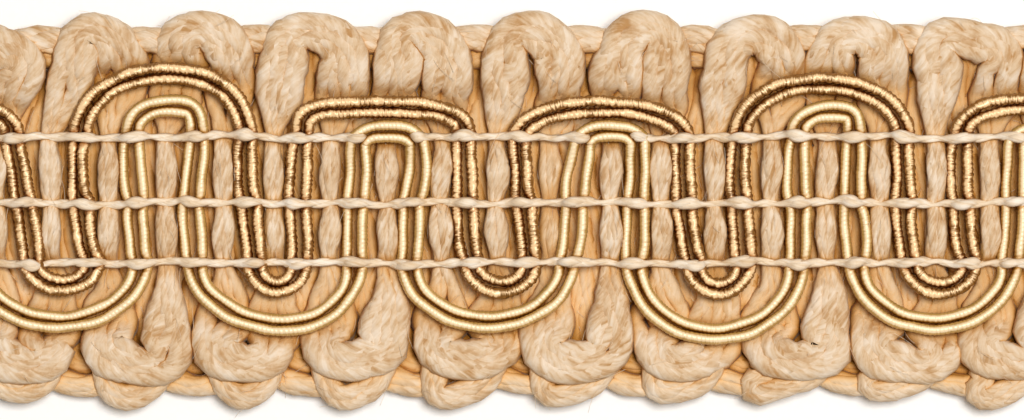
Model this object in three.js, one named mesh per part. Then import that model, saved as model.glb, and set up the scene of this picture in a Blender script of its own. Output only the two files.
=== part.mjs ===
// A cut length of scroll gimp braid, an upholstery trim, lying flat on its back.
// X runs along the trim, Y across it, Z up through its thickness. Sizes are in millimetres.
// The origin is the middle of the underside.
//
// The trim is woven from yarn alone. A thick ecru yarn runs back and forth across the whole width,
// twice, one run behind the other. Two pairs of wrapped gimp strands, a bronze and a gold one, wind
// between the legs of the front run, in arches above and in Us below. Three thin binder threads
// cross over all of them and hold them down.

import * as THREE from 'three';

// Where the binder threads cross the legs.
const ROW_TOP = 2.96;
const ROW_MIDDLE = 0.32;
const ROW_BOTTOM = -2.08;

// The cut ends of the gimp cords and the binder threads.
const END_X = 22.2;

// The heights of the layers. The flat underside of the back run is at zero.
const BACK_THICK = 0.8;
const LAYER_GAP = 0.3;
const FRONT_FLOOR = BACK_THICK + LAYER_GAP;
const FRONT_THICK = 0.7;
const GIMP_LEG_Z = 1.75;
const GIMP_TURN_Z = 2.28;

// The cords' own sizes.
const GIMP = { width: 0.84, thick: 0.5 };
const BINDER = { width: 0.24, thick: 0.22 };

// The front run of ecru yarn is squeezed between the gimp cords and swells towards the two edges.
// Its turns below are two yarn ends side by side, so they are wider at the crest by the outer end.
const FRONT_LEG = 0.6;
const BACK_LEG = 1.4;
const ECRU_TURN = 1.55;
const OUTER_END = 0.9;
const ECRU_TURN_STEPS = 6;

// The ecru legs, a row for each: x is its middle, reach is how far the front run's next turn comes,
// below and above by turns, and lean is how far that turn's crest lies to the right of its middle.
// The front run starts in the middle of a turn above, the back run in the middle of one below.
const ecruLegs = [
  { x: -20.68, reach: -7.8, lean: -0.2 },
  { x: -18.48, reach: 7.96, lean: 0.5 },
  { x: -16.16, reach: -8.0, lean: -0.5 },
  { x: -13.84, reach: 7.96, lean: 0.2 },
  { x: -11.56, reach: -8.04, lean: -0.2 },
  { x: -9.56, reach: 7.96, lean: 0.2 },
  { x: -7.28, reach: -8.04, lean: -0.6 },
  { x: -5.0, reach: 7.92, lean: -0.1 },
  { x: -2.84, reach: -8.04, lean: -0.9 },
  { x: -0.6, reach: 7.88, lean: 0.0 },
  { x: 1.52, reach: -7.92, lean: -0.9 },
  { x: 3.96, reach: 8.04, lean: 0.4 },
  { x: 5.96, reach: -7.84, lean: -0.8 },
  { x: 8.12, reach: 7.88, lean: 0.4 },
  { x: 10.4, reach: -7.92, lean: -0.9 },
  { x: 12.6, reach: 7.84, lean: 0.0 },
  { x: 14.72, reach: -7.92, lean: -0.8 },
  { x: 16.96, reach: 7.76, lean: -0.3 },
  { x: 19.12, reach: -7.84, lean: -0.8 },
  { x: 21.16, reach: 7.76, lean: 0.0 },
];

// The back run lies under the same legs, but turns where the front run doesn't, and reaches less far.
const BACK_ABOVE = 7.36;
const BACK_BELOW = -7.48;

// The gimp cords, a row for each turn: x is its middle, half the distance from there to either leg,
// and reach the cord's own middle at the crest. Arches and Us follow each other.
const bronzeTurns = [
  { x: -23.04, half: 3.04, reach: 4.3 },
  { x: -18.0, half: 1.2, reach: -2.98 },
  { x: -13.96, half: 3.32, reach: 5.52 },
  { x: -9.38, half: 0.9, reach: -3.04 },
  { x: -5.16, half: 3.32, reach: 4.16 },
  { x: -0.42, half: 1.1, reach: -3.06 },
  { x: 3.58, half: 3.26, reach: 4.16 },
  { x: 8.28, half: 1.0, reach: -3.14 },
  { x: 12.38, half: 3.26, reach: 5.1 },
  { x: 17.12, half: 1.14, reach: -3.08 },
  { x: 21.3, half: 3.3, reach: 4.32 },
];
const goldTurns = [
  { x: -22.56, half: 1.2, reach: 3.2 },
  { x: -18.06, half: 3.26, reach: -4.44 },
  { x: -13.9, half: 1.3, reach: 4.12 },
  { x: -9.48, half: 3.2, reach: -4.56 },
  { x: -4.96, half: 1.2, reach: 3.1 },
  { x: -0.96, half: 3.16, reach: -4.44 },
  { x: 3.92, half: 1.14, reach: 3.1 },
  { x: 8.14, half: 3.26, reach: -4.92 },
  { x: 12.56, half: 1.16, reach: 3.92 },
  { x: 16.86, half: 3.06, reach: -4.52 },
  { x: 21.36, half: 1.2, reach: 3.2 },
];

// Sections, in widths across and thicknesses up from the cord's middle.
const ROUND_YARN = [[0.3, -0.5], [0.5, 0], [0.3, 0.5], [-0.3, 0.5], [-0.5, 0], [-0.3, -0.5]];
const STRAND_PAIR = [[0, 0.14], [-0.26, 0.5], [-0.5, 0], [-0.28, -0.5], [0.28, -0.5], [0.5, 0], [0.26, 0.5]];
const THREAD = [[0.5, 0], [0, 0.5], [-0.5, 0], [0, -0.5]];

const clamp = THREE.MathUtils.clamp;
const lerp = THREE.MathUtils.lerp;

// A closed body through a list of rings. A ring has its middle x, y and z, its width and its
// thickness; every section stands upright, square to the path.
function loft(rings, section) {
  const count = section.length;
  const points = [];
  const faces = [];
  rings.forEach((ring, index) => {
    const before = rings[Math.max(index - 1, 0)];
    const after = rings[Math.min(index + 1, rings.length - 1)];
    const side = new THREE.Vector2(after.y - before.y, before.x - after.x).normalize();
    for (const [across, up] of section) {
      const reach = across * ring.width;
      points.push(ring.x + side.x * reach, ring.y + side.y * reach, ring.z + up * ring.thick);
    }
  });
  for (let ring = 0; ring < rings.length - 1; ring += 1) {
    for (let corner = 0; corner < count; corner += 1) {
      const next = (corner + 1) % count;
      const [a, b] = [ring * count + corner, ring * count + next];
      faces.push(a, a + count, b, b, a + count, b + count);
    }
  }
  const last = (rings.length - 1) * count;
  for (let corner = 1; corner < count - 1; corner += 1) {
    faces.push(0, corner, corner + 1);
    faces.push(last, last + corner + 1, last + corner);
  }
  const geometry = new THREE.BufferGeometry();
  geometry.setAttribute('position', new THREE.Float32BufferAttribute(points, 3));
  geometry.setIndex(faces);
  geometry.computeVertexNormals();
  return geometry;
}

// Points on half an ellipse from one leg to the next, both ends left out. Its share says how near
// the crest a point is.
function turn(xFrom, xTo, yFoot, yCrest, steps) {
  const middle = (xFrom + xTo) / 2;
  const points = [];
  for (let step = 1; step < steps; step += 1) {
    const angle = Math.PI * step / steps;
    const x = middle - (xTo - xFrom) / 2 * Math.cos(angle);
    points.push({ x, y: lerp(yFoot, yCrest, Math.sin(angle)), share: Math.sin(angle) ** 2 });
  }
  return points;
}

// A turn of the ecru yarn as rings. Its outer edge comes to reach, and the crest is wider than the
// foot by extra, all of it on the outside.
function ecruTurn(xFrom, xTo, { reach, lean, extra }) {
  const outward = Math.sign(reach);
  const half = (xTo - xFrom) / 2;
  const foot = reach - outward * (half + ECRU_TURN / 2 + extra);
  const rings = turn(xFrom, xTo, foot, foot + outward * half, ECRU_TURN_STEPS).map(({ x, y, share }) => {
    const spread = 1 + share * extra / 2 / half;
    const xMiddle = xFrom + half;
    return {
      x: xMiddle + (x - xMiddle) * spread + share * lean,
      y: foot + (y - foot) * spread,
      width: ECRU_TURN + share * extra,
    };
  });
  return { foot, rings };
}

// One run of the ecru yarn. It goes down its first leg, up the next, and so on, or the other way.
function ecruRun({ downFirst, reachAbove, reachBelow, extraBelow, legWidth, floor, thick, section }) {
  const outsideLeg = 1.8;
  const nearTurn = lerp(legWidth, ECRU_TURN, 0.85);
  const turns = [];
  for (let index = -1; index < ecruLegs.length; index += 1) {
    const leg = ecruLegs[index];
    const next = ecruLegs[index + 1];
    const xFrom = leg ? leg.x : next.x - outsideLeg;
    const xTo = next ? next.x : leg.x + outsideLeg;
    const below = (index % 2 === 0) === downFirst;
    const reach = below ? reachBelow(leg) : reachAbove(leg);
    const lean = downFirst && leg ? leg.lean : 0;
    turns.push(ecruTurn(xFrom, xTo, { reach, lean, extra: below ? extraBelow : 0 }));
  }
  const crest = ECRU_TURN_STEPS / 2 - 1;
  const rings = turns[0].rings.slice(crest);
  ecruLegs.forEach((leg, index) => {
    const [before, after] = [turns[index].foot, turns[index + 1].foot];
    const rows = before > 0 ? [ROW_TOP, ROW_MIDDLE, ROW_BOTTOM] : [ROW_BOTTOM, ROW_MIDDLE, ROW_TOP];
    rings.push({ x: leg.x, y: before, width: ECRU_TURN });
    rings.push({ x: leg.x, y: lerp(rows[0], before, 0.5), width: nearTurn });
    for (const y of rows) rings.push({ x: leg.x, y, width: legWidth });
    rings.push({ x: leg.x, y: lerp(rows[2], after, 0.5), width: nearTurn });
    rings.push({ x: leg.x, y: after, width: ECRU_TURN });
    const last = index === ecruLegs.length - 1;
    rings.push(...turns[index + 1].rings.slice(0, last ? crest + 1 : undefined));
  });
  return loft(rings.map((ring) => ({ ...ring, z: floor + thick / 2, thick })), section);
}

// One gimp cord, from the list of its turns. It lies low between the ecru legs and climbs over
// them in its turns.
function gimpCord(turns) {
  const turnSteps = 8;
  const rings = [];
  const add = (x, y, z) => rings.push({ x, y, z, ...GIMP });
  turns.forEach((bend, index) => {
    const arch = index % 2 === 0;
    const foot = arch ? ROW_TOP : ROW_BOTTOM;
    const [from, to] = [bend.x - bend.half, bend.x + bend.half];
    if (index > 0) {
      const previous = rings.at(-1);
      add(lerp(previous.x, from, 0.5), ROW_MIDDLE, GIMP_LEG_Z);
    }
    add(from, foot, GIMP_LEG_Z);
    for (const point of turn(from, to, foot, bend.reach, turnSteps)) add(point.x, point.y, GIMP_TURN_Z);
    add(to, foot, GIMP_LEG_Z);
  });
  return loft(cutToLength(rings), STRAND_PAIR);
}

// Cuts a path square where it first and last passes the ends of the trim.
function cutToLength(rings) {
  const inside = (ring) => Math.abs(ring.x) <= END_X;
  const first = rings.findIndex(inside);
  const last = rings.findLastIndex(inside);
  const cut = (kept, outer) => {
    const share = clamp((Math.sign(outer.x) * END_X - kept.x) / (outer.x - kept.x), 0, 1);
    const mix = (key) => lerp(kept[key], outer[key], share);
    return { ...kept, x: mix('x'), y: mix('y'), z: mix('z') };
  };
  const head = cut(rings[first], rings[first - 1]);
  const tail = cut(rings[last], rings[last + 1]);
  return [head, ...rings.slice(first, last + 1), tail];
}

// One binder thread. It crosses every leg with little sags between them, and the top one climbs
// over the gold cord's lowest arches.
function binderThread(row) {
  const overLegs = GIMP_LEG_Z + GIMP.thick / 2 + LAYER_GAP + BINDER.thick / 2;
  const overTurn = GIMP_TURN_Z + GIMP.thick / 2 + LAYER_GAP + BINDER.thick / 2;
  const sag = 0.08;
  const step = 1.11;
  const lowCrest = 3.5;
  const besideArch = 0.9;
  const rings = [];
  for (let x = -END_X; x <= END_X + 0.01; x += step) {
    const underneath = goldTurns.some((bend) => bend.reach > 0 && bend.reach < lowCrest
      && Math.abs(x - bend.x) < bend.half + besideArch);
    const z = row === ROW_TOP && underneath ? overTurn : overLegs - (rings.length % 2) * sag;
    rings.push({ x, y: row, z, ...BINDER });
  }
  return loft(rings, THREAD);
}

function piece(name, geometry, color, roughness) {
  const material = new THREE.MeshStandardMaterial({ color, roughness, metalness: 0 });
  const mesh = new THREE.Mesh(geometry, material);
  mesh.name = name;
  return mesh;
}

const frontRun = ecruRun({
  downFirst: true,
  reachAbove: (leg) => (leg ? leg.reach : ecruLegs[1].reach),
  reachBelow: (leg) => leg.reach,
  extraBelow: OUTER_END,
  legWidth: FRONT_LEG,
  floor: FRONT_FLOOR,
  thick: FRONT_THICK,
  section: STRAND_PAIR,
});
const backRun = ecruRun({
  downFirst: false,
  reachAbove: () => BACK_ABOVE,
  reachBelow: () => BACK_BELOW,
  extraBelow: 0,
  legWidth: BACK_LEG,
  floor: 0,
  thick: BACK_THICK,
  section: ROUND_YARN,
});

const trim = new THREE.Group();
trim.add(piece('ecru_back', backRun, 0xc9a27a, 0.95));
trim.add(piece('ecru_front', frontRun, 0xe6c9a2, 0.95));
trim.add(piece('bronze_gimp', gimpCord(bronzeTurns), 0xa9783f, 0.45));
trim.add(piece('gold_gimp', gimpCord(goldTurns), 0xe2b36c, 0.4));
trim.add(piece('binder_top', binderThread(ROW_TOP), 0xe8cfae, 0.9));
trim.add(piece('binder_middle', binderThread(ROW_MIDDLE), 0xe8cfae, 0.9));
trim.add(piece('binder_bottom', binderThread(ROW_BOTTOM), 0xe8cfae, 0.9));

export default trim;
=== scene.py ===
# %% [markdown]
# # Scroll gimp braid
# Gimp braid is an upholstery trim, woven from nothing but yarn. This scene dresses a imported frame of
# it, in which each yarn is one plain solid, with the plies, the wrapping and the soft cotton that
# the eye looks for in a close-up. Everything is in metres, and lies where the frame says.

# %% Load the frame
import math

import bpy
import numpy as np
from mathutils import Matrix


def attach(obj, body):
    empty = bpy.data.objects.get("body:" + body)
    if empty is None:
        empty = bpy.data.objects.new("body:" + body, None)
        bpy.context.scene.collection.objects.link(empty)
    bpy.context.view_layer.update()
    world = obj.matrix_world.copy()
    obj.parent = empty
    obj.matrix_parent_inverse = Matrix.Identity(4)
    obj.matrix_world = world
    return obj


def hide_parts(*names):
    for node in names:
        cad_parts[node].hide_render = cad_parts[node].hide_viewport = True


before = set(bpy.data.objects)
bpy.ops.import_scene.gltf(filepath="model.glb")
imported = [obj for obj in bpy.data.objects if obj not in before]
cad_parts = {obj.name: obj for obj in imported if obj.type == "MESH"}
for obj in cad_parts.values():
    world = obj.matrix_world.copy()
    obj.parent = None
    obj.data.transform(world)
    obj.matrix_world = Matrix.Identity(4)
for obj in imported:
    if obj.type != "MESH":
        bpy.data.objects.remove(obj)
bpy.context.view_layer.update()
scene = bpy.context.scene
MM = 0.001
print("frame holds", len(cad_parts), "nodes")

# %% [markdown]
# ## Camera
# A trim is photographed lying flat, from straight above. A long lens a good way off keeps the two
# ends of the piece at one scale. The lens follows from the width that the picture takes in: a sensor
# 36 mm wide sees that width from this distance.

# %% Camera
VIEW_WIDTH = 40.96
VIEW_MIDDLE_Y = 0.04
CAMERA_DISTANCE = 300.0
GIMP_HEIGHT = 1.75
camera_data = bpy.data.cameras.new("camera")
camera_data.sensor_width = 36.0
camera_data.lens = camera_data.sensor_width * CAMERA_DISTANCE / VIEW_WIDTH
camera_data.clip_start = 0.01
camera_data.clip_end = 5.0
camera = bpy.data.objects.new("camera", camera_data)
camera.location = (0, VIEW_MIDDLE_Y * MM, (CAMERA_DISTANCE + GIMP_HEIGHT) * MM)
scene.collection.objects.link(camera)
scene.camera = camera
print("lens", round(camera_data.lens, 1), "mm")

# %% [markdown]
# ## Light
# A soft box hangs above the trim, a little to the right. It is small enough, seen from the yarn, to
# leave the gaps between the yarns dark, and large enough for a broad sheen along each strand. The
# world fills in the rest. The standard view transform keeps pale cotton pale and white paper white.

# %% Light
SOFT_BOX_SIDE = 0.15
SOFT_BOX_PLACE = (0.07, 0.05, 0.42)
SOFT_BOX_POWER = 1.68
ROOM_STRENGTH = 0.20
soft_box_data = bpy.data.lights.new("soft box", "AREA")
soft_box_data.shape = "SQUARE"
soft_box_data.size = SOFT_BOX_SIDE
soft_box_data.energy = SOFT_BOX_POWER
soft_box = bpy.data.objects.new("soft box", soft_box_data)
soft_box.location = SOFT_BOX_PLACE
soft_box.rotation_euler = (
    -math.atan2(SOFT_BOX_PLACE[1], SOFT_BOX_PLACE[2]),
    math.atan2(SOFT_BOX_PLACE[0], SOFT_BOX_PLACE[2]),
    0,
)
scene.collection.objects.link(soft_box)

world = bpy.data.worlds.new("pale room")
world.use_nodes = True
world.node_tree.nodes["Background"].inputs["Color"].default_value = (1.0, 0.98, 0.95, 1)
world.node_tree.nodes["Background"].inputs["Strength"].default_value = ROOM_STRENGTH
scene.world = world
scene.view_settings.view_transform = "Standard"
print("soft box", SOFT_BOX_SIDE, "m wide,", SOFT_BOX_POWER, "W")

# %% [markdown]
# ## From path to yarn
# Every yarn here is a long path with plies or wraps round it. A path is written as a few rows, and
# each row is a place with anything else that varies there, such as the yarn's width. A spline
# through the rows, resampled at even steps, keeps all of it in one table of numbers. Doing this in
# numpy, and not with bevelled curves, is what lets a ply twist, swell and flatten on its way.

# %% Paths
def smooth(rows, step):
    """Rows of (x, y, z, ...) in mm, resampled along a Catmull-Rom spline every step mm."""
    rows = np.array(rows, float)
    padded = np.vstack([2 * rows[0] - rows[1], rows, 2 * rows[-1] - rows[-2]])
    before, start, end, after = padded[:-3, None], padded[1:-2, None], padded[2:-1, None], padded[3:, None]
    t = np.linspace(0, 1, 16, endpoint=False)[None, :, None]
    curve = 0.5 * (
        2 * start + (end - before) * t
        + (2 * before - 5 * start + 4 * end - after) * t**2
        + (3 * start - before - 3 * end + after) * t**3
    )
    curve = np.vstack([curve.reshape(-1, rows.shape[1]), rows[-1:]])
    length = lengths(curve)
    even = np.linspace(0, length[-1], max(int(length[-1] / step), 2))
    return np.stack([np.interp(even, length, column) for column in curve.T], axis=1)


def lengths(path):
    """The length along the path at each of its points, in mm."""
    steps = np.linalg.norm(np.diff(path[:, :3], axis=0), axis=1)
    return np.concatenate([[0], np.cumsum(steps)])


def sides(path):
    """For each point of a path, the unit vector to its right and the one up out of the braid."""
    along = np.gradient(path[:, :3], axis=0)
    along /= np.linalg.norm(along, axis=1, keepdims=True) + 1e-12
    right = np.cross(along, (0, 0, 1))
    right /= np.linalg.norm(right, axis=1, keepdims=True) + 1e-12
    return right, np.cross(right, along)


def wander(at, period, amount, seed):
    """Hand-made unevenness: a smooth random wave along a path, of about this period in mm."""
    chance = np.random.default_rng(seed)
    wave = np.zeros_like(at)
    for share in (0.7, 1.0, 1.5, 2.3):
        wave += np.sin(2 * math.pi * at / (period * share) + chance.uniform(0, 2 * math.pi))
    return wave * amount / 2


print("a straight 10 mm, in steps of 0.5 mm, has", len(smooth([(0, 0, 0), (10, 0, 0)], 0.5)), "points")

# %% [markdown]
# ## From yarn to mesh
# A strand becomes a skin of rings. Its texture coordinates are real: U is the length along the
# strand in millimetres and V goes once round it, so that a material can lay its fibres along it.

# %% Skin
def ring_points(centre, radius, count):
    """Rings of count points round a path. The radius may vary along the path and round the ring."""
    right, up = sides(centre)
    angle = np.arange(count) * 2 * math.pi / count
    radius = np.broadcast_to(radius, (len(centre), count))[..., None]
    around = np.cos(angle)[None, :, None] * right[:, None] + np.sin(angle)[None, :, None] * up[:, None]
    return centre[:, None, :3] + radius * around


def skin(name, strands, material, nodes):
    """One piece from strands, each a stack of rings in mm, that stands for nodes of the frame."""
    points, corners, uvs, totals = [], [], [], []
    offset = 0
    # Neighbouring rings are joined by quads, and each end of a strand is closed by one face.
    for strand in strands:
        rings, count = strand.shape[:2]
        index = offset + np.arange(rings * count).reshape(rings, count)
        turned = np.roll(index, -1, axis=1)
        quads = np.stack([index[:-1], turned[:-1], turned[1:], index[1:]], axis=-1).reshape(-1, 4)
        along = lengths(strand.mean(axis=1))
        around = np.arange(count) / count
        u = np.stack([along[:-1], along[:-1], along[1:], along[1:]], axis=-1)[:, None]
        v = np.stack([around, around + 1 / count, around + 1 / count, around], axis=-1)[None]
        u, v = np.broadcast_arrays(u, v)
        points.append(strand.reshape(-1, 3))
        corners += [quads.ravel(), index[0, ::-1], index[-1]]
        uvs += [np.stack([u, v], axis=-1).reshape(-1, 2), np.zeros((2 * count, 2))]
        totals += [np.full(len(quads), 4), [count, count]]
        offset += rings * count
    points, corners = np.concatenate(points) * MM, np.concatenate(corners)
    totals = np.concatenate(totals)
    # Handing whole arrays to the mesh is many times faster than a list of faces.
    mesh = bpy.data.meshes.new(name)
    mesh.vertices.add(len(points))
    mesh.vertices.foreach_set("co", points.ravel())
    mesh.loops.add(len(corners))
    mesh.loops.foreach_set("vertex_index", corners.astype(np.int32))
    mesh.polygons.add(len(totals))
    mesh.polygons.foreach_set("loop_start", np.concatenate([[0], np.cumsum(totals)[:-1]]).astype(np.int32))
    mesh.polygons.foreach_set("use_smooth", np.ones(len(totals), bool))
    mesh.uv_layers.new(name="strand").data.foreach_set("uv", np.concatenate(uvs).ravel())
    mesh.update()
    mesh.validate()
    mesh.materials.append(material)
    piece = bpy.data.objects.new(name, mesh)
    scene.collection.objects.link(piece)
    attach(piece, "root")
    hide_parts(*nodes)
    print(name, "has", len(strands), "strands and", int(sum(totals - 2)), "triangles")


# %% [markdown]
# ## Materials
# Colours are written as the hex values that a screen shows, and one function turns them to the linear
# values that light works in. Another adds a node with its settings and its links, so that a material
# reads as a short list.

# %% Material helpers
def linear(hex_colour):
    """An sRGB hex colour, such as #E8C79B, as linear red, green, blue and 1."""
    values = [int(hex_colour[i:i + 2], 16) / 255 for i in (1, 3, 5)]
    return (*[v / 12.92 if v <= 0.04045 else ((v + 0.055) / 1.055) ** 2.4 for v in values], 1)


def node(tree, kind, settings=None, **inputs):
    """A node of this kind. An input is a value, or another node's output to link it to."""
    made = tree.nodes.new("ShaderNode" + kind)
    for name, value in (settings or {}).items():
        setattr(made, name, value)
    for name, value in inputs.items():
        key = int(name[1:]) if name[1:].isdigit() else name.replace("_", " ")
        if isinstance(value, bpy.types.NodeSocket):
            tree.links.new(value, made.inputs[key])
        else:
            made.inputs[key].default_value = value
    return made


def new_material(name):
    """An empty node material, and the shader that its surface ends in."""
    material = bpy.data.materials.new(name)
    material.use_nodes = True
    shader = material.node_tree.nodes["Principled BSDF"]
    return material, material.node_tree, shader


def set_stops(ramp, *stops):
    """Gives a colour ramp its stops of (place, hex colour), and returns its colour."""
    while len(ramp.color_ramp.elements) < len(stops):
        ramp.color_ramp.elements.new(0.5)
    for element, (place, colour) in zip(ramp.color_ramp.elements, stops):
        element.position = place
        element.color = linear(colour)
    return ramp.outputs["Color"]


print("half-bright grey #808080 is", round(linear("#808080")[0], 3), "of full light")

# %% [markdown]
# ### Carded cotton, soft spun
# The thick ecru yarn is cotton, carded and hardly twisted, neither bleached nor mercerised. To the
# eye it is matt and warm, with fine fibres that run along each ply at a slant, a velvety edge where
# loose fibres catch the light, and flecks of slightly darker fibre. Real fibres are 0.015 mm thick;
# they are drawn about six times as coarse, in streaks that still show at 25 pixels a millimetre.
#
# Light at the bottom of a gap between two yarns has been coloured by both of them. So shade is
# painted into the cotton: warmer and deeper where its neighbours shut it in, which an ambient
# occlusion node measures, and warmer again where the yarn lies low and shut in, as the layer
# underneath does between the front yarn's legs.

# %% Cotton
FIBRE_STREAK_MM = 0.09
FIBRE_SLANT = 2.2
PLY_ROUND_MM = 0.8
STREAK_LENGTH_MM = 1.8
FLECKS_PER_MM = 0.9
FIBRE_DEPTH_MM, LUMP_DEPTH_MM = 0.05, 0.12
SHADE_SAMPLES, YARN_REACH_MM = 8, 1.1
# Painted shade: heights between which the deep shade colour fades in, and how open the cotton is where it
# starts and where it is full.
FRONT_LAYER_MM, BACK_LAYER_MM = 1.70, 0.95
OPEN, SHUT_IN = 0.97, 0.66


def fibre_streaks(tree):
    """A streak pattern whose lines run along the strand at a slant, from its U in mm and V round."""
    uv = node(tree, "SeparateXYZ", Vector=node(tree, "UVMap", {"uv_map": "strand"}).outputs["UV"])
    around = node(tree, "Math", {"operation": "MULTIPLY"}, _0=uv.outputs["Y"], _1=2 * math.pi)
    turned = node(tree, "Math", {"operation": "MULTIPLY_ADD"},
                  _0=uv.outputs["X"], _1=FIBRE_SLANT, _2=around.outputs[0])
    fine = PLY_ROUND_MM / FIBRE_STREAK_MM / 2 / math.pi
    along = node(tree, "Math", {"operation": "MULTIPLY"}, _0=uv.outputs["X"], _1=1 / STREAK_LENGTH_MM)
    cos = node(tree, "Math", {"operation": "COSINE"}, _0=turned.outputs[0])
    sin = node(tree, "Math", {"operation": "SINE"}, _0=turned.outputs[0])
    place = node(tree, "CombineXYZ", X=cos.outputs[0], Y=sin.outputs[0], Z=along.outputs[0])
    noise = node(tree, "TexNoise", Vector=place.outputs[0], Scale=fine, Detail=3.0, Roughness=0.6)
    return noise.outputs["Fac"]


def paint_crevice_shade(tree, colour, opened, *stops):
    """Paints shade into a colour where its neighbours shut it in, by stops of (openness, hex colour)."""
    shade = set_stops(node(tree, "ValToRGB", Fac=opened), *stops)
    mixed = node(tree, "Mix", {"data_type": "RGBA", "blend_type": "MULTIPLY"}, _0=1.0, _6=colour, _7=shade)
    return mixed.outputs[2]


def cotton(name, light, middle, dark, deep_shade):
    """Matt cotton with painted shade. Its deep shade colour is painted where the yarn lies low and shut in,
    as between the legs.
    """
    material, tree, shader = new_material(name)
    streaks = fibre_streaks(tree)
    place = node(tree, "TexCoord").outputs["Object"]
    flecks = node(tree, "TexNoise", Vector=place,
                  Scale=FLECKS_PER_MM / MM, Detail=4.0, Roughness=0.65).outputs["Fac"]
    mixed = node(tree, "Mix", {"data_type": "FLOAT"}, _0=0.45, _2=streaks, _3=flecks).outputs[0]
    colour = set_stops(node(tree, "ValToRGB", Fac=mixed), (0.36, dark), (0.49, middle), (0.62, light))
    # Painted shade: a deeper, warmer colour is mixed in where the yarn lies low and its neighbours shut it
    # in.
    height = node(tree, "SeparateXYZ", Vector=place).outputs["Z"]
    opened = node(tree, "AmbientOcclusion", {"samples": SHADE_SAMPLES},
                  Distance=YARN_REACH_MM * MM).outputs["AO"]
    low = node(tree, "MapRange", {"interpolation_type": "SMOOTHSTEP"}, Value=height,
               From_Min=FRONT_LAYER_MM * MM, From_Max=BACK_LAYER_MM * MM)
    enclosed = node(tree, "MapRange", {"interpolation_type": "SMOOTHSTEP"}, Value=opened,
                    From_Min=OPEN, From_Max=SHUT_IN)
    under = node(tree, "Math", {"operation": "MULTIPLY"}, _0=low.outputs[0], _1=enclosed.outputs[0])
    deep_shaded = node(tree, "Mix", {"data_type": "RGBA"}, _0=under.outputs[0], _6=colour, _7=linear(deep_shade))
    # Painted shade: the cotton is darkened and warmed where the ambient occlusion finds it shut in.
    shaded = paint_crevice_shade(tree, deep_shaded.outputs[2], opened,
                     (0.08, "#8C6214"), (0.30, "#D9AE60"), (0.56, "#FAECD0"), (0.72, "#FFFFFF"))
    tree.links.new(shaded, shader.inputs["Base Color"])
    lumps = node(tree, "Bump", Height=flecks, Strength=0.6, Distance=LUMP_DEPTH_MM * MM)
    bump = node(tree, "Bump", Height=streaks, Strength=0.7, Distance=FIBRE_DEPTH_MM * MM,
                Normal=lumps.outputs[0])
    tree.links.new(bump.outputs[0], shader.inputs["Normal"])
    shader.inputs["Roughness"].default_value = 0.9
    shader.inputs["IOR"].default_value = 1.53
    shader.inputs["Specular IOR Level"].default_value = 0.2
    shader.inputs["Sheen Weight"].default_value = 0.12
    shader.inputs["Sheen Roughness"].default_value = 0.45
    shader.inputs["Sheen Tint"].default_value = linear("#FFEBD2")
    return material


# The deep colour of each cotton is painted shade, for yarn that lies low and shut in.
ecru_cotton = cotton("carded cotton, soft spun",
                     light="#F0DAC0", middle="#DFBF99", dark="#BE8E5A", deep_shade="#F0CC9C")
binder_cotton = cotton("carded cotton, twisted thread",
                       light="#FFEFDA", middle="#F4DBBB", dark="#E0BE94", deep_shade="#D9A464")
print("cotton streaks", FIBRE_STREAK_MM, "mm")

# %% [markdown]
# ### Rayon floss, wrapped
# Each gimp strand is a cotton core with rayon floss wound closely round it. Rayon is a smooth spun
# filament: satin, with a bright narrow highlight on top of each wrap and saturated colour between the
# wraps. The wraps themselves are in the mesh. The material adds the filaments that run round each
# wrap, drawn at 0.05 mm where real ones are 0.02 mm, the way the colour of the floss drifts a
# little along its length, and painted shade in the grooves between the wraps and strands.
#
# All the filaments cross the strand, so its crown throws the light straight back and looks nearly
# white, while the flanks show the dye. A wide soft box alone can't draw so sharp a band, so the
# crown has a painted highlight, a pale colour laid along its top. On the loosely laid bronze floss
# the painted band breaks up into dots.

# %% Rayon
FILAMENT_MM = 0.05
PATCHES_ROUND = 3.0
DRIFTS_PER_MM = 1.4
FILAMENT_DEPTH_MM = 0.02
GROOVE_REACH_MM = 0.45


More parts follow.
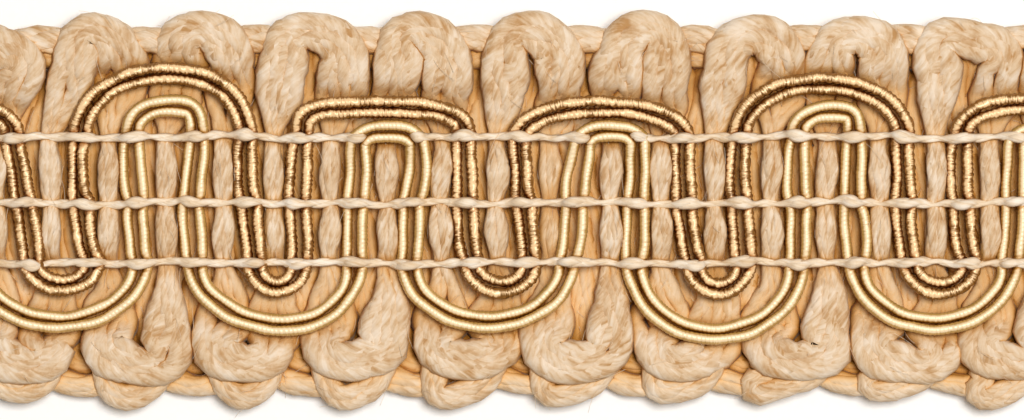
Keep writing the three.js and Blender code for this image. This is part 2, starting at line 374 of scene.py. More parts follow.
def rayon(name, crown_highlight, flank, dark, side, deep_shade, roughness, broken):
    """Satin rayon floss, wound round a core. The crown colour is a painted highlight along the top of the
    strand, and the more broken it is, the more the wraps leave of it only in dots. The deep and side
    colours are painted shade in the grooves."""
    material, tree, shader = new_material(name)
    uv = node(tree, "SeparateXYZ", Vector=node(tree, "UVMap", {"uv_map": "strand"}).outputs["UV"])
    place = node(tree, "CombineXYZ", X=uv.outputs["X"], Y=uv.outputs["Y"]).outputs[0]
    stretched = node(tree, "Mapping", Vector=place, Scale=(1 / FILAMENT_MM, PATCHES_ROUND, 1.0)).outputs[0]
    filaments = node(tree, "TexNoise", Vector=stretched, Scale=1.0, Detail=2.0, Roughness=0.5).outputs["Fac"]
    drift = node(tree, "TexNoise", Vector=node(tree, "TexCoord").outputs["Object"],
                 Scale=DRIFTS_PER_MM / MM, Detail=2.0).outputs["Fac"]
    mixed = node(tree, "Mix", {"data_type": "FLOAT"}, _0=0.5, _2=filaments, _3=drift).outputs[0]
    body = set_stops(node(tree, "ValToRGB", Fac=mixed), (0.32, dark), (0.62, flank))
    around = node(tree, "Math", {"operation": "MULTIPLY"}, _0=uv.outputs["Y"], _1=2 * math.pi)
    upward = node(tree, "Math", {"operation": "SINE"}, _0=around.outputs[0])
    ragged = node(tree, "Math", {"operation": "MULTIPLY_ADD"}, _0=mixed, _1=broken, _2=upward.outputs[0])
    # Painted highlight: the crown colour is laid in a band along the top of the strand, broken up by the
    # filaments.
    top = node(tree, "MapRange", {"interpolation_type": "SMOOTHSTEP"}, Value=ragged.outputs[0],
               From_Min=0.74 + broken / 2, From_Max=0.98 + broken / 2)
    colour = node(tree, "Mix", {"data_type": "RGBA"}, _0=top.outputs[0], _6=body, _7=linear(crown_highlight))
    opened = node(tree, "AmbientOcclusion", {"samples": SHADE_SAMPLES},
                  Distance=GROOVE_REACH_MM * MM).outputs["AO"]
    # Painted shade: the deep and side colours darken the floss in its grooves, where the ambient occlusion
    # finds it shut in.
    shaded = paint_crevice_shade(tree, colour.outputs[2], opened, (0.30, deep_shade), (0.56, side), (0.84, "#FFFFFF"))
    tree.links.new(shaded, shader.inputs["Base Color"])
    bump = node(tree, "Bump", Height=filaments, Strength=0.25, Distance=FILAMENT_DEPTH_MM * MM)
    tree.links.new(bump.outputs[0], shader.inputs["Normal"])
    shader.inputs["Roughness"].default_value = roughness
    shader.inputs["IOR"].default_value = 1.54
    shader.inputs["Specular IOR Level"].default_value = 0.9
    shader.inputs["Specular Tint"].default_value = linear("#FFDFB0")
    shader.inputs["Coat Weight"].default_value = 0.35
    shader.inputs["Coat Roughness"].default_value = 0.28
    return material


# The crown colour is a painted highlight; the side and deep colours are painted shade.
gold_rayon = rayon("rayon floss, pale gold, wound", crown_highlight="#FFE2B6", flank="#D8A85E", dark="#B08642",
                   side="#C4A05A", deep_shade="#7E5C18", roughness=0.34, broken=0.5)
bronze_rayon = rayon("rayon floss, bronze brown, wound", crown_highlight="#FFD6A0", flank="#A0682A", dark="#744810",
                     side="#B4823A", deep_shade="#6A3E0C", roughness=0.32, broken=1.6)
print("rayon made in two colours")

# %% [markdown]
# ## The gimp cords
# Each cord is a flat pair of wrapped strands. It winds along the braid in arches and Us, and dives
# between the ecru legs where the binder threads hold it. The two strands touch at the turns and
# under the binder threads, and bow apart between the threads, where they can. A turn is a row of its
# middle, the half-width to either leg, its crest, how blunt it is (1 is an ellipse, less is squarer)
# and how far it leans. A leg is a row of its middle under each binder thread, then the two strands'
# places half-way between the threads, upper pair first.

# %% Gimp tables
ROW_TOP, ROW_MIDDLE, ROW_BOTTOM = 2.96, 0.32, -2.08
BRONZE_TURNS = [
    (-23.04, 3.04, 4.30, 0.8, 0), (-18.00, 1.20, -2.98, 1, 0), (-13.96, 3.32, 5.52, 0.95, 0.2),
    (-9.38, 0.90, -3.04, 1, 0), (-5.16, 3.32, 4.16, 0.6, -0.4), (-0.42, 1.10, -3.06, 1, 0),
    (3.58, 3.26, 4.16, 0.95, 0), (8.28, 1.00, -3.14, 1, 0), (12.38, 3.26, 5.10, 0.95, 0),
    (17.12, 1.14, -3.08, 1, 0), (21.30, 3.30, 4.32, 0.8, 0),
]
BRONZE_LEGS = [
    (-20.00, -19.52, -19.20, -20.08, -19.48, -19.68, -19.00),
    (-17.28, -17.20, -16.80, -17.60, -17.20, -17.44, -16.84),
    (-10.64, -10.52, -10.28, -11.00, -10.40, -10.72, -10.12),
    (-8.40, -8.60, -8.48, -8.88, -8.20, -8.84, -8.16),
    (-1.92, -1.88, -1.60, -2.20, -1.60, -2.16, -1.48),
    (0.32, 0.48, 0.72, 0.12, 0.60, 0.32, 0.84),
    (6.84, 6.92, 7.28, 6.52, 7.12, 6.72, 7.32),
    (9.12, 9.12, 9.28, 8.72, 9.32, 8.84, 9.52),
    (15.64, 15.68, 15.92, 15.40, 15.92, 15.44, 16.00),
    (18.00, 18.00, 18.32, 17.52, 18.20, 17.72, 18.40),
]
GOLD_TURNS = [
    (-22.56, 1.20, 3.20, 0.8, 0), (-18.06, 3.26, -4.44, 1, 0), (-13.90, 1.30, 4.20, 0.7, 0.3),
    (-9.48, 3.20, -4.56, 1, 0.3), (-4.96, 1.20, 3.20, 0.8, 0), (-0.96, 3.16, -4.44, 1, 0),
    (3.92, 1.14, 3.22, 0.8, 0), (8.14, 3.26, -4.92, 1, 0), (12.56, 1.16, 3.98, 0.7, 0.35),
    (16.86, 3.06, -4.52, 1, 0), (21.36, 1.20, 3.20, 0.8, 0),
]
GOLD_LEGS = [
    (-21.36, -21.34, -21.36, -21.60, -21.00, -21.68, -21.04),
    (-15.20, -15.04, -14.88, -15.56, -14.84, -15.36, -14.72),
    (-12.60, -12.88, -12.68, -13.00, -12.36, -13.16, -12.42),
    (-6.16, -6.28, -6.28, -6.48, -5.80, -6.60, -6.00),
    (-3.76, -4.04, -4.12, -4.12, -3.40, -4.36, -3.68),
    (2.80, 2.48, 2.20, 2.24, 3.04, 2.08, 2.80),
    (5.04, 4.96, 4.88, 4.72, 5.32, 4.56, 5.32),
    (11.44, 11.44, 11.40, 11.00, 11.72, 11.16, 11.80),
    (13.68, 13.60, 13.80, 13.36, 14.00, 13.32, 14.20),
    (20.16, 20.08, 19.92, 19.80, 20.48, 19.72, 20.40),
]
print(len(BRONZE_TURNS), "turns in each cord")

# %% [markdown]
# A strand is on the left of the cord all the way, or on the right. On the left it is the outside of
# every arch and the inside of every U.

# %% Gimp paths
PAIR_GAP = 0.45
LEG_GAPS = {"top": 0.54, "middle": 0.64, "low": 0.58}
LEG_Z = {"left": 1.52, "right": 1.72}
ROW_Z = 1.60
TURN_Z = {"outer": 1.86, "inner": 1.76}
CUT_X = 22.2
LEAST_RISE = 0.75
# A turn leaves its feet this much above the rows, and climbs this many times as fast as it bends.
FOOT_LIFT, CLIMB = 0.1, 2.2
# How soon the two strands of a cord close up on their way into a turn: less is sooner.
CLOSING = 0.7
# Each turn is worked out at every 1.5 degrees, and these places of it are kept.
TURN_PLACES = (9, 20, 33, 46, 60, 74, 87, 100, 111)


def bow(x_above, x_below, x_middle, above, below, z):
    """Three rows between two binder threads, where a strand stands off to one side."""
    rows = []
    for share, off in ((0.2, 0.7), (0.5, 0.9), (0.8, 0.7)):
        straight = x_above + (x_below - x_above) * share
        middle = (x_above + x_below) / 2
        x = straight + (x_middle - middle) * off
        rows.append((x, above + (below - above) * share, ROW_Z + (z - ROW_Z) * off))
    return rows


def gimp_strand(turns, legs, left_of_travel):
    """The rows x, y, z of one strand of a cord, running on past both ends of the trim."""
    path = []
    for index, (middle, half, crest, bluntness, lean) in enumerate(turns):
        arch = index % 2 == 0
        foot = min(ROW_TOP, crest - LEAST_RISE) if arch else ROW_BOTTOM
        # The turn is half a blunt ellipse, moved out or in to where this strand lies.
        outer = left_of_travel == arch
        hug = 1 if outer else -1
        height = abs(crest - foot)
        sign = 1 if arch else -1
        level = TURN_Z["outer" if outer else "inner"]
        start = legs[index - 1][0 if arch else 2] if index > 0 else middle - half
        end = legs[index][0 if arch else 2] if index < len(legs) else middle + half
        centre, reach = (start + end) / 2, (end - start) / 2
        angle = np.radians(np.linspace(0, 180, 121))
        x = -reach * np.sign(np.cos(angle)) * np.abs(np.cos(angle)) ** bluntness + lean * np.sin(angle) ** 2
        y = height * np.sin(angle) ** bluntness
        foot_gap = LEG_GAPS["low" if not arch else "middle" if foot < ROW_TOP else "top"]
        out = hug * (foot_gap + (PAIR_GAP - foot_gap) * np.sin(angle) ** CLOSING) / 2
        heading = np.arctan2(np.gradient(y), np.gradient(x))
        x, y = x - out * np.sin(heading), y + out * np.cos(heading)
        z = ROW_Z + FOOT_LIFT + (level - ROW_Z - FOOT_LIFT) * np.minimum(np.sin(angle) * CLIMB, 1)
        for at in TURN_PLACES:
            path.append((centre + x[at], foot + sign * y[at], z[at]))
        if index >= len(legs):
            break
        # The leg after it runs down through the three rows from an arch, and up from a U.
        top, mid, low, upper_left, upper_right, lower_left, lower_right = legs[index]
        east = left_of_travel == arch
        apart = [(gap if east else -gap) / 2 for gap in LEG_GAPS.values()]
        top, mid, low = [x + half for x, half in zip((top, mid, low), apart)]
        z = LEG_Z["right" if east else "left"]
        arch_crest = turns[index if arch else index + 1][2]
        under_thread = [(top, ROW_TOP, ROW_Z)] if arch_crest - ROW_TOP > LEAST_RISE else []
        upper = bow(top, mid, upper_right if east else upper_left, ROW_TOP, ROW_MIDDLE, z)
        lower = bow(mid, low, lower_right if east else lower_left, ROW_MIDDLE, ROW_BOTTOM, z)
        if not under_thread:
            upper = upper[1:]
        leg = [*under_thread, *upper, (mid, ROW_MIDDLE, ROW_Z), *lower, (low, ROW_BOTTOM, ROW_Z)]
        path += leg if arch else leg[::-1]
    return path


def inside_ends(path):
    """The stretch of a path that lies between the two cut ends of the trim."""
    kept = np.flatnonzero(np.abs(path[:, 0]) < CUT_X)
    return path[kept[0]:kept[-1] + 1]


one_strand = inside_ends(smooth(gimp_strand(GOLD_TURNS, GOLD_LEGS, True), 0.2))
print("one gold strand is", round(lengths(one_strand)[-1]), "mm long in", round(2 * CUT_X, 1), "mm of trim")

# %% [markdown]
# The wraps are ridges that wind round the strand. Gold floss is laid evenly, one wrap beside the
# other. The bronze floss is laid in heavier wraps, further apart, and less evenly. Each floss is a
# row of numbers: how long one wrap is in millimetres, how deep its grooves are, how many flosses are
# wound on side by side, and how unevenly they lie. A bump in the material could draw the wraps too,
# but it would leave the strand with a smooth outline, so they are in the mesh.

# %% Gimp wraps
WRAP_STEP = 0.036
STRAND_SIDES = 12
STRAND_RADIUS = 0.215
GOLD_FLOSS = (0.18, 0.11, 2, 0.5)
BRONZE_FLOSS = (0.25, 0.28, 3, 1.4)


def wrapped(rows, floss, seed):
    """One strand of rings whose surface has the ridges of its wrapping."""
    wrap_mm, depth, starts, unevenness = floss
    path = inside_ends(smooth(rows, WRAP_STEP))
    at = lengths(path)
    right, _ = sides(path)
    path[:, :3] += wander(at, 2.2, 0.02, seed)[:, None] * right
    path[:, 2] += wander(at, 3.0, 0.02, seed + 1)
    angle = np.arange(STRAND_SIDES) * 2 * math.pi / STRAND_SIDES
    drift = wander(at, 1.3, unevenness, seed + 2)
    phase = math.pi * at / wrap_mm + drift
    ridge = np.abs(np.cos(phase[:, None] + starts * angle[None, :] / 2))
    swell = 1 + wander(at, 0.9, 0.03, seed + 3)
    return ring_points(path, STRAND_RADIUS * swell[:, None] * (1 + depth * (ridge - 0.6)), STRAND_SIDES)


for hand_name, left in (("left", True), ("right", False)):
    strand = wrapped(gimp_strand(GOLD_TURNS, GOLD_LEGS, left), GOLD_FLOSS, 500 + left * 20)
    skin("gold_gimp_" + hand_name + "_strand", [strand], gold_rayon, ["gold_gimp"])
    strand = wrapped(gimp_strand(BRONZE_TURNS, BRONZE_LEGS, left), BRONZE_FLOSS, 600 + left * 20)
    skin("bronze_gimp_" + hand_name + "_strand", [strand], bronze_rayon, ["bronze_gimp"])

# %% [markdown]
# ## The ecru yarn, front run
# The thick yarn runs back and forth across the whole width, as two ends on top of each other. Between
# the gimp cords both are squeezed narrow. Towards the edges nothing holds them, and they spread to
# two or three times that width, until each leg leans on the next. Each leg is a row here: its
# middle, its middle near the upper edge, and how wide it shows there, in millimetres. Its real
# width varies less than that, because each leg hides a part of the next. The crests of the turns
# come after. A simulated weave would find places of its own for them. A table keeps them where a
# real loom left them.

# %% Ecru legs
ECRU_LEGS = [
    (-20.68, -19.80, 1.68), (-18.48, -17.48, 1.20), (-16.16, -15.68, 1.20), (-13.84, -13.32, 1.68),
    (-11.56, -11.24, 1.28), (-9.56, -9.14, 1.72), (-7.28, -6.64, 1.68), (-5.00, -4.52, 2.08),
    (-2.84, -2.58, 1.56), (-0.60, -0.22, 1.88), (1.52, 1.92, 2.24), (3.96, 4.26, 2.12),
    (5.96, 6.22, 1.80), (8.12, 8.58, 1.48), (10.40, 10.78, 1.10), (12.60, 12.76, 1.52),
    (14.72, 14.88, 1.28), (16.96, 17.12, 1.76), (19.12, 19.52, 1.20), (21.16, 21.36, 1.60),
]
# How much lower than the others a leg lies between the gimp cords, by its number.
SUNK = {0: 0.1, 5: 0.12, 7: 0.05, 10: 0.42, 15: 0.15}
# The outer edge at the crest of each turn above: x, y.
TOP_CRESTS = [
    (-21.90, 7.90), (-16.76, 8.00), (-12.48, 7.96), (-8.24, 7.96), (-3.96, 7.96), (0.48, 7.88),
    (5.40, 8.04), (9.64, 7.88), (13.72, 7.84), (17.80, 7.72), (22.00, 7.80),
]
# Below, x and y for the upper end's turn and for the lower's, which comes further out.
BOTTOM_CRESTS = [
    (-19.28, -6.84, -19.80, -7.84), (-14.80, -6.88, -15.44, -8.04), (-10.56, -6.76, -10.72, -8.04),
    (-6.40, -6.68, -6.68, -8.08), (-1.88, -6.60, -2.68, -8.08), (2.60, -6.76, 1.72, -8.00),
    (6.72, -6.76, 6.20, -7.84), (11.32, -6.68, 9.84, -7.84), (16.12, -6.84, 14.60, -7.76),
    (20.32, -6.76, 18.92, -8.04),
]
FOOT_ABOVE, FOOT_BELOW, LOWER_FOOT_BELOW = 6.0, -5.3, -6.0
ABOVE_ROWS, BELOW_ROWS, WIDENING = 4.6, -3.2, -4.2
LEAST_SPREAD, SPREAD_SHARE, MOST_SPREAD = 1.55, 0.32, 2.2
print(len(ECRU_LEGS), "legs")

# %% [markdown]
# A turn is half an ellipse that leans towards its crest. Its rows carry the yarn's height above the
# table and its section, because the ends swell where nothing presses on them.

# %% Ecru turns and runs
def leaning_turn(start, end, foot, crest, carries):
    """Rows over a turn, both feet left out. What it carries is blended from the feet to the crest."""
    rows = []
    middle, half = (start + end) / 2, (end - start) / 2
    for angle in np.radians((30, 55, 90, 125, 150)):
        share = math.sin(angle) ** 2
        x = middle - half * math.cos(angle) + share * (crest[0] - middle)
        y = foot + (crest[1] - foot) * math.sin(angle)
        at_foot, at_crest = carries
        rows.append((x, y, *[a + (b - a) * share for a, b in zip(at_foot, at_crest)]))
    return rows


# Height of the middle of the yarn, width and thickness, at each kind of place.
UPPER_END = {
    "row": (1.38, 0.72, 0.50), "between": (1.64, 0.96, 0.58), "above rows": (1.46, 1.74, 0.66),
    "above": (1.56, 1.64, 0.82), "below rows": (1.44, 1.26, 0.66), "widening": (1.44, 1.86, 0.72),
    "foot": (1.44, 2.26, 0.76), "below": (1.50, 1.64, 0.84),
}
LOWER_END = {
    "row": (0.98, 0.66, 0.44), "between": (1.00, 0.76, 0.46), "above rows": (1.04, 1.30, 0.56),
    "above": (1.16, 1.40, 0.66), "below rows": (1.00, 1.10, 0.54), "widening": (1.00, 1.16, 0.56),
    "foot": (1.04, 1.20, 0.70), "below": (1.10, 1.14, 0.80),
}
# From the outer edge of a crest to the middle of the yarn.
UPPER_INSET = {"above": 0.77, "below": 0.68}
LOWER_INSET = {"above": 0.84, "below": 0.62}


def front_end(upper):
    """The rows of one of the two ends of the front run, from its first turn above to its last."""
    place = UPPER_END if upper else LOWER_END
    inset = UPPER_INSET if upper else LOWER_INSET
    rows = []
    for index, (x, x_above, spread) in enumerate(ECRU_LEGS):
        sunk = SUNK.get(index, 0.0)
        row = (place["row"][0] - sunk, *place["row"][1:])
        between = (place["between"][0] - sunk, *place["between"][1:])
        z_above, _, thick_above = place["above"]
        wide_above = min(LEAST_SPREAD + spread * SPREAD_SHARE, MOST_SPREAD)
        leg = [
            (x_above, FOOT_ABOVE, z_above, wide_above, thick_above),
            (x * 0.4 + x_above * 0.6, ABOVE_ROWS, *place["above rows"]),
            (x, ROW_TOP, *row),
            (x, (ROW_TOP + ROW_MIDDLE) / 2, *between),
            (x, ROW_MIDDLE, *row),
            (x, (ROW_MIDDLE + ROW_BOTTOM) / 2, *between),
            (x, ROW_BOTTOM, *row),
            (x + 0.08, BELOW_ROWS, *place["below rows"]),
            (x, WIDENING, *place["widening"]),
            (x - 0.10, FOOT_BELOW, *place["foot"]),
        ]
        if not upper:
            leg.append((x - 0.16, LOWER_FOOT_BELOW, *place["foot"]))
        # The yarn comes down every other leg and goes up the ones between.
        rows.append(leg if index % 2 == 0 else leg[::-1])
    crests = [(x, y - inset["above"]) for x, y in TOP_CRESTS]
    foot_below = FOOT_BELOW if upper else LOWER_FOOT_BELOW
    path = [(*crests[0], *place["above"])]
    for index, leg in enumerate(rows):
        path += leg
        if index == len(rows) - 1:
            path.append((*crests[-1], *place["above"]))
            break
        after = rows[index + 1][0][0]
        if index % 2 == 0:
            x_upper, y_upper, x_lower, y_lower = BOTTOM_CRESTS[index // 2]
            crest_x, edge_y = (x_upper, y_upper) if upper else (x_lower, y_lower)
            crest = (crest_x, edge_y + inset["below"])
            path += leaning_turn(leg[-1][0], after, foot_below, crest, (place["foot"], place["below"]))
        else:
            crest = crests[(index + 1) // 2]
            path += leaning_turn(leg[-1][0], after, FOOT_ABOVE, crest, (leg[-1][2:], place["above"]))
    return path


print("the upper end is", round(lengths(smooth(front_end(True), 0.2))[-1]), "mm long")

# %% [markdown]
# The turns of the gimp cords lie across the soft yarn, and squash it under them and a little less
# inside each arch and U. It is a share of the yarn's height, worked out from how far each point of
# the yarn is from the nearest cord, which is quick and never shakes as simulated contact can. Both
# runs are squashed by the same share, so that the front one can't sink through the back one, and
# what a yarn loses in thickness it gains in width.

# %% Squash
PRESS_MM, PRESS_SHARE, INSIDE_SHARE = 0.68, 0.48, 0.32
# Inside a turn the squash fades out over this length towards its feet.
FADE_MM = 0.9
CORDS = ((BRONZE_TURNS, BRONZE_LEGS), (GOLD_TURNS, GOLD_LEGS))
crossing = np.vstack([smooth(gimp_strand(*cord, left), 0.2) for cord in CORDS for left in (True, False)])
crossing = crossing[(crossing[:, 1] > ROW_TOP + 0.3) | (crossing[:, 1] < ROW_BOTTOM - 0.3)]


def pressed(path):
    """The share by which the gimp turns squash the yarns at each point, under them and inside."""
    x, y = path[:, 0], path[:, 1]
    apart = np.linalg.norm(path[:, None, :2] - crossing[None, :, :2], axis=2).min(axis=1)
    share = PRESS_SHARE * np.exp(-((apart / PRESS_MM) ** 2))
    for turns, first, foot in ((BRONZE_TURNS, 0, ROW_TOP), (GOLD_TURNS, 1, ROW_BOTTOM)):
        for middle, half, crest, *_ in turns[first::2]:
            out = (y - foot) / (crest - foot)
            within = (((x - middle) / half) ** 2 + np.maximum(out, 0) ** 2 < 1) & (out > 0)
            share = np.maximum(share, within * INSIDE_SHARE * np.clip(np.abs(y - foot) / FADE_MM, 0, 1))
    return share


print("gimp turns press on", PRESS_MM, "mm of yarn to either side")

# %% [markdown]
# A soft yarn is several fat plies laid together with little twist. Each ply keeps to the rim of the
# yarn's section and presses into its neighbours, so that only shallow grooves show between them, and
# all of them stray a little, so that no two bends of the yarn look the same. In a tight turn the
# inner plies crowd against its centre and can't cross it, so each is held back by its own radius,
# which also keeps the mesh from folding over itself. They end raggedly at the cut. One thick tube
# with a ply pattern would be lighter, but its outline would give it away.

# %% Plies
PLIES = 7
PLY_STEP = 0.26
PLY_SIDES = 8
PLY_SHARE = 0.325
# In shares of its radius, how far a ply keeps from the centre of a turn and from the table.
TURN_CLEARANCE, TABLE_CLEARANCE = 1.05, 1.1
# How far off the middle even the tightest turn lets a ply lie, in mm.
LEAST_OFF = 0.04


def plies(rows, seed, twist_mm=11.0):
    """The plies of one yarn end as strands of rings. Rows are x, y, z, width, thickness."""
    path = smooth(rows, PLY_STEP)
    left_over = 1 - pressed(path)
    path[:, 2] *= left_over
    right, up = sides(path)
    at = lengths(path)
    chance = np.random.default_rng(seed)
    width = path[:, 3] * (1 + wander(at, 3.1, 0.07, seed + 1)) / left_over**0.5
    thick = path[:, 4] * (1 + wander(at, 2.3, 0.05, seed + 2))
    sway = wander(at, 4.0, 0.035, seed + 3)
    base = path[:, :3] + sway[:, None] * right
    # The radius of the turn at each point, taken from its tightest point near by.
    heading = np.unwrap(np.arctan2(np.gradient(base[:, 1]), np.gradient(base[:, 0])))
    bend = np.gradient(heading) / np.gradient(at)
    sharpest = np.max([np.roll(np.abs(bend), shift) for shift in (-2, -1, 0, 1, 2)], axis=0)
    turn_radius = 1 / np.maximum(np.convolve(sharpest, np.ones(5) / 5, "same"), 0.01)
    strands = []
    for ply in range(PLIES):
        radius = PLY_SHARE * np.sqrt(width * thick) * (1 + wander(at, 1.7, 0.07, seed + 10 * ply + 4))
        phase = ply * 2 * math.pi / PLIES + wander(at, 5.0, 0.35, seed + 10 * ply + 5)
        angle = 2 * math.pi * at / twist_mm + phase
        across = (width / 2 - radius) * np.cos(angle) + wander(at, 1.9, 0.02, seed + 10 * ply + 6)
        inside = np.maximum(turn_radius - TURN_CLEARANCE * radius, LEAST_OFF)
        across = np.where(bend > 0, np.maximum(across, -inside), np.minimum(across, inside))
        radius *= left_over**0.3
        rise = np.maximum(thick * left_over / 2 - radius, 0.02) * np.sin(angle)
        centre = base + across[:, None] * right + rise[:, None] * up
        centre[:, 2] = np.maximum(centre[:, 2], TABLE_CLEARANCE * radius)
        cut = chance.integers(0, 2, 2)
        kept = slice(cut[0], len(centre) - cut[1])
        lumps = 1 + 0.05 * chance.standard_normal((len(centre), PLY_SIDES))
        strands.append(ring_points(centre[kept], (radius[:, None] * lumps)[kept], PLY_SIDES))
    return strands


front_plies = plies(front_end(True), 100), plies(front_end(False), 200)
skin("ecru_front_upper_end", front_plies[0], ecru_cotton, ["ecru_front"])
skin("ecru_front_lower_end", front_plies[1], ecru_cotton, ["ecru_front"])

# %% [markdown]
# ## The ecru yarn, back run
# The same two ends make a second run under the first, out of step with it: where the front run turns
# above, this one is already on its way down. From the front only its turns show, as the low humps
# between the lobes, but it also closes the gaps between the legs and is the trim's glued face. Each
# of its legs is thinner in the three rows where a binder thread crosses it on the back.

# %% Back run
BACK_TOP, BACK_BOTTOM, BACK_END_X = 7.30, -7.42, 22.0
BACK_Z = 0.42
BACK_FOOT_ABOVE, BACK_FOOT_BELOW = 5.95, -5.4
BACK_INSET, ENDS_APART = 0.42, 0.8
EAST_SHARE, WEST_SHARE = 0.76, 0.24
LEG_PITCH = 2.2


def half_way(xs):
    """The places half-way between neighbours in a row, and as far outside its first and last."""
    return [xs[0] - LEG_PITCH / 2, *[(a + b) / 2 for a, b in zip(xs, xs[1:])], xs[-1] + LEG_PITCH / 2]


def back_end(first):
    """The rows of one end of the back run, from a turn below to a turn below."""
    hand = 1 if first else -1
    bounds = half_way([leg[0] for leg in ECRU_LEGS])
    top_bounds = half_way([leg[1] for leg in ECRU_LEGS])
    legs = []
    for index in range(len(ECRU_LEGS)):
        up_leg = index % 2 == 0
        east = (-hand if up_leg else hand) > 0
        share = EAST_SHARE if east else WEST_SHARE
        width = (bounds[index + 1] - bounds[index]) / 2
        low = bounds[index] + (bounds[index + 1] - bounds[index]) * share
        high = top_bounds[index] + (top_bounds[index + 1] - top_bounds[index]) * share
        section = (BACK_Z + 0.04, width + 0.30, 0.80)
        held = (BACK_Z + 0.16, width + 0.32, 0.56)
        leg = [
            (low, BACK_FOOT_BELOW, *section),
            (low, -3.6, *section),
            (low, ROW_BOTTOM, *held),
            (low, (ROW_BOTTOM + ROW_MIDDLE) / 2, *section),
            (low, ROW_MIDDLE, *held),
            (low * 0.9 + high * 0.1, (ROW_MIDDLE + ROW_TOP) / 2, *section),
            (low * 0.8 + high * 0.2, ROW_TOP, *held),
            (low * 0.3 + high * 0.7, 4.9, *section),
            (high, BACK_FOOT_ABOVE, BACK_Z + 0.46, width + 0.34, 0.84),
        ]
        legs.append(leg if up_leg else leg[::-1])
    above_section = (BACK_Z + (0.92 if hand > 0 else 0.56), 1.14, 0.84)
    below_section = (BACK_Z + (0.30 if hand < 0 else 0.0), 0.92, 0.80)
    end_y = BACK_BOTTOM + BACK_INSET + (ENDS_APART if hand > 0 else 0)
    path = [(-BACK_END_X, end_y, *below_section)]
    for index, leg in enumerate(legs):
        path += leg
        if index == len(legs) - 1:
            break
        after = legs[index + 1][0]
        middle = (leg[-1][0] + after[0]) / 2
        if index % 2 == 0:
            crest = (middle - 0.1, BACK_TOP - BACK_INSET - (0 if hand > 0 else ENDS_APART))
            path += leaning_turn(leg[-1][0], after[0], BACK_FOOT_ABOVE, crest, (leg[-1][2:], above_section))
        else:
            crest = (middle + 0.2, BACK_BOTTOM + BACK_INSET + (0 if hand < 0 else ENDS_APART))
            path += leaning_turn(leg[-1][0], after[0], BACK_FOOT_BELOW, crest, (leg[-1][2:], below_section))
    path.append((BACK_END_X, end_y, *below_section))
    return path


back_plies = plies(back_end(True), 300), plies(back_end(False), 400)
skin("ecru_back_first_end", back_plies[0], ecru_cotton, ["ecru_back"])
skin("ecru_back_second_end", back_plies[1], ecru_cotton, ["ecru_back"])

# %% [markdown]
# ## Loose fibres
# Carded cotton is never quite smooth: here and there a fibre lifts off the yarn, arches over its
# neighbours and goes back in, and a few end in the air. They are what makes a yarn look soft, and a
# thin tube for each is cheaper than hair and exports with the rest. A single fibre is too thin for a
# pattern to show, so its cotton is one plain colour.

# %% Loose fibres
FIBRE_TRIES = 3600
FIBRE_RADIUS = 0.009
FIBRE_LENGTHS, LIFT_MM, FREE_SHARE = (0.4, 1.3), 0.014, 0.06
LAST_FIBRE_X = 21.8
loose_cotton, tree, shader = new_material("cotton fibre, single")
shader.inputs["Base Color"].default_value = linear("#F2DABA")
shader.inputs["Roughness"].default_value = 0.6
shader.inputs["IOR"].default_value = 1.53


def loose_fibres(strands, count, seed):
    """Thin tubes that leave the surface of a ply at random places and follow it for a way."""
    chance = np.random.default_rng(seed)
    made = []
    share = np.array([len(strand) for strand in strands], float)
    for _ in range(count):
        strand = strands[chance.choice(len(strands), p=share / share.sum())]
        ring, side = chance.integers(1, len(strand) - 2), chance.integers(strand.shape[1])
        start, middle = strand[ring, side], strand[ring].mean(axis=0)
        out = (start - middle) / np.linalg.norm(start - middle)
        along = strand[ring + 1].mean(axis=0) - middle
        along /= np.linalg.norm(along)
        lift = chance.gamma(2.0, LIFT_MM)
        length = chance.uniform(*FIBRE_LENGTHS) * chance.choice((-1, 1))
        drift, flies = chance.normal(0, 0.3), chance.random() < FREE_SHARE
        if out[2] < -0.1 or abs(start[0]) > LAST_FIBRE_X:
            continue
        t = np.linspace(0, 1, 5)[:, None]
        rise = lift * (2.2 * t if flies else 4 * t * (1 - t)) - 0.012
        across = np.cross(out, along)
        path = start + along * t * length + across * drift * t**2 * abs(length) + out * rise
        path[:, 2] = np.maximum(path[:, 2], 0.03)
        made.append(ring_points(path, FIBRE_RADIUS, 3))
    return made


all_plies = [strand for end in (*front_plies, *back_plies) for strand in end]
fibres = loose_fibres(all_plies, FIBRE_TRIES, 900)
skin("ecru_loose_fibres", fibres, loose_cotton, ["ecru_front"])

# %% [markdown]
# ## The binder threads
# Three thin warp threads hold everything down. Each is two plies, twisted hard, and goes over every
# gimp leg, where it shows as a pale bead, and sinks into the soft ecru yarn in between. The top one
# goes under the crests of the two low gold arches. The height of a thread is therefore a table of
# what it crosses. A second thread lies straight across the back.

# %% Binder threads
OVER_GIMP, OVER_ECRU, UNDER_ARCH = 2.00, 1.56, 1.44
BINDER_PLY = 0.128
BINDER_TWIST_MM = 2.3
SAG = 0.08
# In ply radii, how high the thread on the back lies.
BACK_LEVEL = 1.45
# How thick a ply is where it is pulled tight, and how much thicker on top of a gimp leg.
TIGHT, SWOLLEN = 0.98, 0.48
LOW_ARCHES, ARCH_HALF = (-4.96, 3.92), 0.9


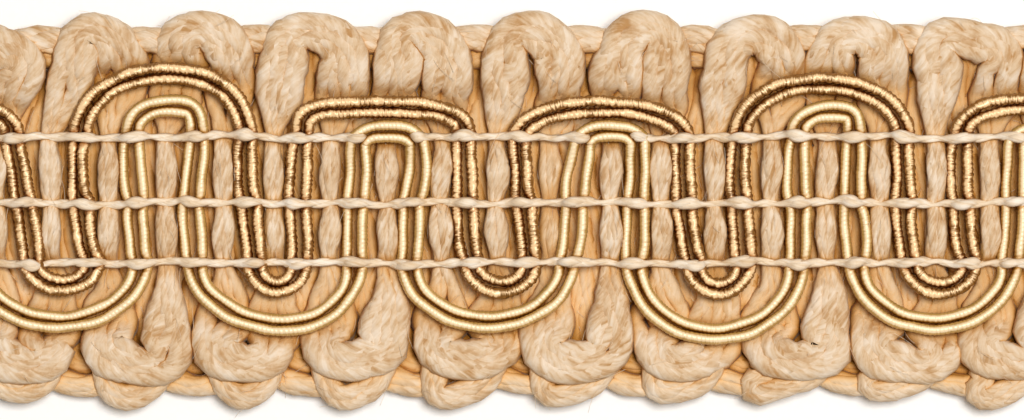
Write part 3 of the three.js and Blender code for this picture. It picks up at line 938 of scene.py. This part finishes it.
def binder(row_y, column, crests, seed):
    """The two plies over the front in one row, and the two over the back."""
    places = [(leg[0], OVER_ECRU) for leg in ECRU_LEGS]
    places += [(leg[column], OVER_GIMP) for leg in BRONZE_LEGS + GOLD_LEGS]
    places = [place for place in places if all(abs(place[0] - x) > ARCH_HALF for x in crests)]
    places += [(x + off, UNDER_ARCH) for x in crests for off in (-0.7, 0.0, 0.7)]
    places = sorted(place for place in places if abs(place[0]) < CUT_X - 0.2)
    rows = [(-CUT_X, row_y, OVER_ECRU)]
    for before, here in zip([rows[0][::2]] + places, places):
        gap_x = (before[0] + here[0]) / 2
        rows.append((gap_x, row_y, (before[1] + here[1]) / 2 - SAG))
        rows.append((here[0], row_y, here[1]))
    rows.append((CUT_X, row_y, OVER_ECRU))
    path = smooth(rows, 0.07)
    at = lengths(path)
    path[:, 1] += wander(at, 6.0, 0.05, seed) + wander(at, 1.6, 0.03, seed + 1)
    under = path.copy()
    under[:, 2] = BINDER_PLY * BACK_LEVEL + wander(at, 4.0, 0.01, seed + 2)
    strands = []
    for thread in (path, under):
        right, up = sides(thread)
        bead = np.clip((thread[:, 2] - OVER_ECRU) / (OVER_GIMP - OVER_ECRU), 0, 1)
        loose = (TIGHT + SWOLLEN * bead) * (1 + wander(at, 1.1, 0.14, seed + 3))
        for ply in range(2):
            turn = 2 * math.pi * at / BINDER_TWIST_MM + ply * math.pi
            apart = (BINDER_PLY * 0.30 * loose)[:, None]
            centre = thread + apart * (np.cos(turn)[:, None] * right + np.sin(turn)[:, None] * up)
            strands.append(ring_points(centre, (BINDER_PLY * loose)[:, None], 6))
    return strands


BINDERS = (("binder_top", ROW_TOP, 0, LOW_ARCHES), ("binder_middle", ROW_MIDDLE, 1, ()),
           ("binder_bottom", ROW_BOTTOM, 2, ()))
for number, (binder_name, row_y, column, crests) in enumerate(BINDERS):
    strands = binder(row_y, column, crests, 700 + 30 * number)
    skin(binder_name + "_thread", strands, binder_cotton, [binder_name])

# %% [markdown]
# ## The table
# The trim lies on plain white card, which the light just brings to white. One face is enough for it,
# and a faint grain in its colour is all that uncoated card shows.

# %% Table
card, tree, shader = new_material("white card, uncoated")
GRAINS_PER_MM = 4
place = node(tree, "TexCoord").outputs["Object"]
grain = node(tree, "TexNoise", Vector=place, Scale=GRAINS_PER_MM / MM, Detail=3.0).outputs["Fac"]
card_colour = set_stops(node(tree, "ValToRGB", Fac=grain), (0.3, "#FBFBF8"), (0.7, "#FDFDFB"))
tree.links.new(card_colour, shader.inputs["Base Color"])
shader.inputs["Roughness"].default_value = 0.95
TABLE_HALF = 0.6
corners = [(TABLE_HALF * x, TABLE_HALF * y, 0) for x, y in ((-1, -1), (1, -1), (1, 1), (-1, 1))]
table_mesh = bpy.data.meshes.new("table")
table_mesh.from_pydata(corners, [], [(0, 1, 2, 3)])
table_mesh.materials.append(card)
table = bpy.data.objects.new("table", table_mesh)
scene.collection.objects.link(table)
print("table laid")
